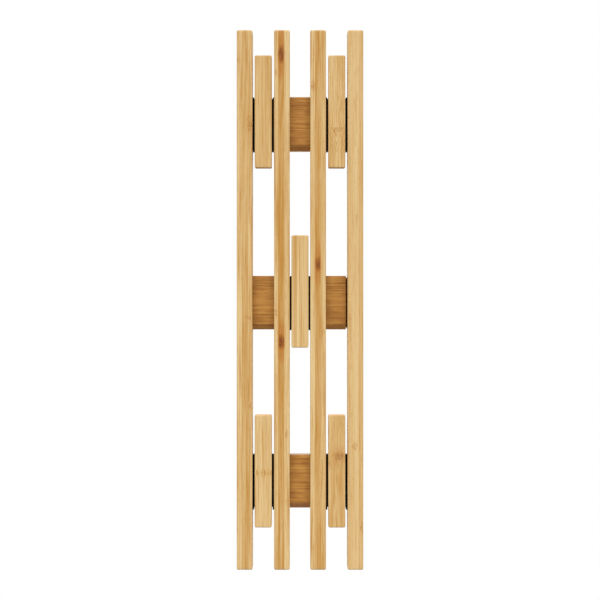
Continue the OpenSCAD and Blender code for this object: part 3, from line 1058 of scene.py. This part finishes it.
@dataclass
class Screws:
    """Screws of one kind with a cross in the head, at every place where the CAD has them."""

    node: str
    size: ScrewSize
    places: list[Vector]
    facing: Triple
    seed: int

    # Points of each head's side, as shares of its radius and of its height.
    CROWNS = {
        Head.COUNTERSUNK: ((0.97, -0.12), (1.0, -0.03), (0.97, 0.0)),
        Head.PAN: ((1.0, 0.0), (0.99, 0.28), (0.9, 0.58), (0.68, 0.82), (0.36, 0.96)),
    }

    # Shares of the shank's radius.
    CORE = 0.72
    TIP = 1.9
    THREAD_START = 1.2

    # Shares of the head's radius, and of its height.
    RECESS_RADII = (0.66, 0.2)
    RECESS_DEPTH = 0.9
    NECK = -1.4
    THREAD_END = 1.8

    def shape(self) -> ShapeGraph:
        """A threaded screw that points down, with the face of its head at the origin.

        Returns:
            The tree, which takes the screw's sizes by name.
        """
        names = ("Head Radius", "Head Height", "Shank Radius", "Length", "Pitch")
        graph = ShapeGraph(f"{self.size.head.value.title()} Screw", dict.fromkeys(names, "Float"))
        head_r, head_h, shank_r, length, _ = (graph.given[name] for name in names)
        core = graph.times(shank_r, self.CORE)
        end = graph.times(length, -1.0)
        stem = [
            (0.0, end), (core, graph.scaled(shank_r, self.TIP, end)),
            (core, graph.scaled(head_h, self.NECK, 0.0)),
        ]
        sunk = self.size.head is Head.COUNTERSUNK
        under, top = (graph.times(head_h, -1.0), 0.0) if sunk else (0.0, head_h)
        crown = graph.profile(head_r, head_h, self.CROWNS[self.size.head])
        body = {"Mesh 1": graph.turned([*stem, (shank_r, under), *crown, (0.0, top)], sides=32)}
        cut = graph.add("GeometryNodeMeshBoolean", body, operation="DIFFERENCE", solver="EXACT")
        for wing in self.recess(graph, top):
            graph.feed(cut.inputs["Mesh 2"], wing)
        both = graph.add("GeometryNodeJoinGeometry")
        for part in (cut.outputs[0], self.thread(graph, core)):
            graph.feed(both.inputs[0], part)
        graph.finish(graph.softened(both.outputs[0]), spin=2 * math.pi)
        return graph

    def recess(self, graph: ShapeGraph, top: Value) -> list[Socket]:
        """Two crossed tapering wings that cut the cross in the head.

        Args:
            graph: The tree.
            top: The height of the head's face.

        Returns:
            The wings' geometry sockets.
        """
        wing_height, wing_thickness = 1.4, 0.3
        depth = graph.times(graph.given["Head Height"], self.RECESS_DEPTH)
        wide, narrow = (graph.times(graph.given["Head Radius"], share) for share in self.RECESS_RADII)
        wing = graph.put("GeometryNodeMeshCone", {
            "Vertices": 4, "Radius Top": wide, "Radius Bottom": narrow,
            "Depth": graph.times(depth, wing_height),
        })
        low = graph.combine(0.0, 0.0, graph.minus(top, depth))
        return [
            graph.put("GeometryNodeTransform", {
                "Geometry": wing, "Translation": low, "Rotation": (0.0, 0.0, turn),
                "Scale": (1.0, wing_thickness, 1.0),
            })
            for turn in (0.0, math.pi / 2)
        ]

    def thread(self, graph: ShapeGraph, core: Socket) -> Socket:
        """A three-sided ridge wound down the shank.

        Args:
            graph: The tree.
            core: The shank's radius between the threads.

        Returns:
            The thread's geometry socket.
        """
        ridge_share, taper = 0.66, 0.55
        shank_r, length = graph.given["Shank Radius"], graph.given["Length"]
        ridge = graph.times(graph.minus(shank_r, core), ridge_share)
        below_head = graph.minus(length, graph.times(graph.given["Head Height"], self.THREAD_END))
        height = graph.minus(below_head, graph.times(shank_r, self.THREAD_START))
        spiral = graph.put("GeometryNodeCurveSpiral", {
            "Resolution": 20, "Rotations": graph.over(height, graph.given["Pitch"]), "Height": height,
            "Start Radius": graph.times(core, taper), "End Radius": graph.minus(shank_r, ridge),
        })
        section = graph.put("GeometryNodeCurvePrimitiveCircle", {"Resolution": 3, "Radius": ridge})
        wound = graph.put("GeometryNodeCurveToMesh", {
            "Curve": spiral, "Profile Curve": section, "Fill Caps": True,
        })
        start = graph.scaled(shank_r, self.THREAD_START, graph.times(length, -1.0))
        return graph.put("GeometryNodeTransform", {
            "Geometry": wound, "Translation": graph.combine(0.0, 0.0, start),
        })

    def build(self, material: Material) -> None:
        """Makes the screws and puts them on the frame.

        Args:
            material: Their plating.
        """
        size = self.size
        sizes = {
            "Head Radius": size.head_radius * MM, "Head Height": size.head_height * MM,
            "Shank Radius": size.shank_radius * MM, "Length": size.length * MM, "Pitch": size.pitch * MM,
            "Facing": self.facing, "Seed": self.seed,
        }
        name = f"{self.node}_threaded"
        self.shape().stand_in(name, [self.node], self.places, sizes, material, "bright_steel")


@dataclass
class Fixings:
    """Every screw, and the two keyhole plates. Distances are in millimetres."""

    slat_rise: float = 16.4
    web_rise: float = 22.4
    plate_rise: float = 12.0
    sheet: float = 1.4

    def pairs(self, nodes: Iterable[tuple[str, str]], depth: float, rise: float) -> list[Vector]:
        """Places above and below the middle of each node.

        Args:
            nodes: Pairs of CAD nodes, one that gives the place across the rack and one its height.
            depth: Where the screw heads lie, front to back, in metres.
            rise: How far they are above and below the middle.

        Returns:
            The places, in metres.
        """
        return [
            Vector((middle(across).x, depth, middle(level).z + side * rise * MM))
            for across, level in nodes for side in (-1, 1)
        ]

    def build(self) -> None:
        """Makes and dresses them all."""
        zinc = ZINC.build()
        back = 0.0
        web_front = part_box("rail_top")[0].y - self.sheet * MM
        crossings = [(slat, rail) for slat in SLATS for rail in RAILS]
        brackets = [(f"bracket_{place}", f"rail_{place.split('_')[0]}") for place in PEG_PLACES]
        slats = self.pairs(crossings, back, self.slat_rise)
        blocks = self.pairs(zip(BLOCKS, BLOCKS), back, self.slat_rise)
        webs = self.pairs(brackets, web_front, self.web_rise)
        plates = self.pairs(zip(HANGERS, HANGERS), back, self.plate_rise)
        for screws in (
            Screws("slat_screws", WOOD_SCREW, slats, TO_WALL, seed=3),
            Screws("block_screws", WOOD_SCREW, blocks, TO_WALL, seed=5),
            Screws("bracket_screws", BRACKET_SCREW, webs, TO_ROOM, seed=7),
            Screws("hanger_screws", PLATE_SCREW, plates, TO_WALL, seed=9),
        ):
            screws.build(zinc)
        for plate in HANGERS:
            paint(plate, zinc)


@dataclass
class Hinges:
    """The folded brackets with their pins and rubber bumpers. Sizes are in millimetres."""

    bumper_radius: float = 4.0
    bumper_foot: float = 5.0
    pin_chamfer: float = 0.35

    # Points of the foot's and the dome's side, as shares of their radius and of the bumper's length.
    FOOT = ((0.94, 0.0), (1.0, 0.04), (1.0, 0.12), (0.95, 0.16))
    DOME = (
        (1.06, 0.19), (1.0, 0.26), (0.96, 0.8), (0.86, 0.92), (0.66, 0.98), (0.4, 1.0), (0.3, 0.97),
        (0.0, 0.97),
    )

    def bumper_shape(self) -> ShapeGraph:
        """A domed rubber foot that stands along Z.

        Returns:
            The tree, which takes Radius, Foot Radius and Length.
        """
        names = ("Radius", "Foot Radius", "Length")
        graph = ShapeGraph("Rubber Bumper", dict.fromkeys(names, "Float"))
        radius, foot, length = (graph.given[name] for name in names)
        side = graph.profile(foot, length, self.FOOT) + graph.profile(radius, length, self.DOME)
        body = graph.turned([(0.0, 0.0), *side], sides=40)
        graph.finish(graph.softened(body, sharp=0.9))
        return graph

    def pin_shape(self) -> ShapeGraph:
        """A rod with chamfered ends, centred on its point.

        Returns:
            The tree, which takes Radius, Length and Chamfer.
        """
        names = ("Radius", "Length", "Chamfer")
        graph = ShapeGraph("Hinge Pin", dict.fromkeys(names, "Float"))
        radius, length, chamfer = (graph.given[name] for name in names)
        half = graph.times(length, 0.5)
        short = graph.minus(half, chamfer)
        narrow = graph.minus(radius, chamfer)
        upper = [(radius, short), (narrow, half), (0.0, half)]
        lower = [(width, graph.times(height, -1.0)) for width, height in reversed(upper)]
        graph.finish(graph.softened(graph.turned(lower + upper, sides=32)))
        return graph

    def build(self) -> None:
        """Makes the bumpers and the pins, and dresses the brackets."""
        # The brackets and pins take the near-black coat, which is partly painted shade of the narrow gaps.
        coat = BLACK_COAT_AND_GAP_SHADE.build()
        for place in PEG_PLACES:
            paint(f"bracket_{place}", coat)
        bumpers = [f"bumper_{place}" for place in PEG_PLACES]
        low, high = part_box(bumpers[0])
        feet = [Vector((middle(node).x, high.y, middle(node).z)) for node in bumpers]
        sizes = {"Radius": self.bumper_radius * MM, "Foot Radius": self.bumper_foot * MM,
                 "Length": high.y - low.y, "Facing": TO_ROOM}
        self.bumper_shape().stand_in("bumpers_moulded", bumpers, feet, sizes, RUBBER.build(), "rubber")
        shape = self.pin_shape()
        for place in PEG_PLACES:
            node = f"pin_{place}"
            low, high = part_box(node)
            sizes = {"Radius": (high.z - low.z) / 2, "Length": high.x - low.x,
                     "Chamfer": self.pin_chamfer * MM, "Facing": TO_SIDE}
            shape.stand_in(f"{node}_chamfered", [node], [(low + high) / 2], sizes, coat, "black_steel")


# ---- studio


@dataclass(frozen=True)
class Lamp:
    """A soft light: the direction that it shines from, and its strength in watts per square metre."""

    name: str
    towards: Triple
    strength: float


@dataclass
class Studio:
    """Camera, soft lamps, white surroundings and a pale floor well below the hanging rack.

    Lengths are in metres, but for the sensor's in millimetres. Softness is a lamp's width in radians.
    """

    distance: float = 1.4
    picture_height: float = 0.66667
    sensor: float = 36.0
    floor_drop: float = 0.62
    floor_size: float = 3.0
    floor_lit: Colour = (0.45, 0.45, 0.45, 1.0)
    floor_seen: Colour = (0.86, 0.86, 0.86, 1.0)
    floor_roughness: float = 0.8
    ambient: float = 0.37
    softness: float = 0.48
    lamp_tint: Triple = (1.0, 0.985, 0.965)
    lamps: tuple[Lamp, ...] = (
        Lamp("key_left", (-1.0, -1.6, 1.9), 1.43),
        Lamp("key_right", (1.0, -1.6, 1.9), 1.43),
        Lamp("back", (0.3, 1.9, 1.5), 1.0),
    )

    def build(self) -> None:
        """Makes everything around the object."""
        self.camera()
        self.world()
        for lamp in self.lamps:
            self.light(lamp)
        self.floor()

    def camera(self) -> None:
        """Looks square at the rack's face, from its middle."""
        low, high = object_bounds()
        data = bpy.data.cameras.new("camera")
        data.sensor_width = self.sensor
        data.lens = self.sensor * self.distance / self.picture_height
        camera = new_object("camera", data)
        camera.location = ((low.x + high.x) / 2, low.y - self.distance, (low.z + high.z) / 2)
        camera.rotation_euler = (math.pi / 2, 0.0, 0.0)
        bpy.context.scene.camera = camera

    def world(self) -> None:
        """White where the camera or a reflection looks past the object, and soft grey light elsewhere."""
        world = bpy.data.worlds.new("studio")
        bpy.context.scene.world = world
        world.use_nodes = True
        world.node_tree.nodes.clear()
        graph = ShaderGraph(world.node_tree)
        strength = graph.ramp(self.seen(graph), 0.0, 1.0, self.ambient, 1.0, smooth=False)
        white = {"Color": (1.0, 1.0, 1.0, 1.0), "Strength": strength}
        graph.add("ShaderNodeOutputWorld", {"Surface": graph.put("ShaderNodeBackground", white)})

    def seen(self, graph: ShaderGraph) -> Socket:
        """Tells the rays that show the surroundings, 1, from those that light the object, 0.

        Args:
            graph: The world's or the floor's graph.

        Returns:
            The mask's socket.
        """
        path = graph.add("ShaderNodeLightPath").outputs
        seen = graph.math("MAXIMUM", path["Is Camera Ray"], path["Is Glossy Ray"])
        return graph.math("MAXIMUM", seen, path["Is Transmission Ray"])

    def light(self, lamp: Lamp) -> None:
        """Adds a soft light that falls evenly over the whole height of the rack.

        Args:
            lamp: Which light.
        """
        data = bpy.data.lights.new(lamp.name, "SUN")
        data.energy = lamp.strength
        data.angle = self.softness
        data.color = self.lamp_tint
        light = new_object(lamp.name, data)
        light.location = lamp.towards
        light.rotation_mode = "QUATERNION"
        light.rotation_quaternion = (-Vector(lamp.towards)).to_track_quat("-Z", "Y")

    def floor(self) -> None:
        """Lays the pale floor."""
        half = self.floor_size / 2
        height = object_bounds()[0].z - self.floor_drop
        mesh = bpy.data.meshes.new("floor")
        corners = ((-half, -half), (half, -half), (half, half), (-half, half))
        mesh.from_pydata([(x, y, height) for x, y in corners], [], [(0, 1, 2, 3)])
        material, graph = ShaderGraph.for_material("pale_floor")
        colour = graph.blend(self.seen(graph), self.floor_lit, self.floor_seen)
        graph.dress({"Base Color": colour, "Roughness": self.floor_roughness})
        mesh.materials.append(material)
        new_object("floor", mesh)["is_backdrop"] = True


def main() -> None:
    """Builds the looks in order."""
    logging.basicConfig(level=logging.INFO, format="%(name)s: %(message)s")
    bpy.context.scene.view_settings.view_transform = "Standard"
    Slats().build()
    Pegs().build()
    CrossPieces().build()
    Hinges().build()
    Fixings().build()
    Studio().build()


if __name__ == "__main__":
    main()
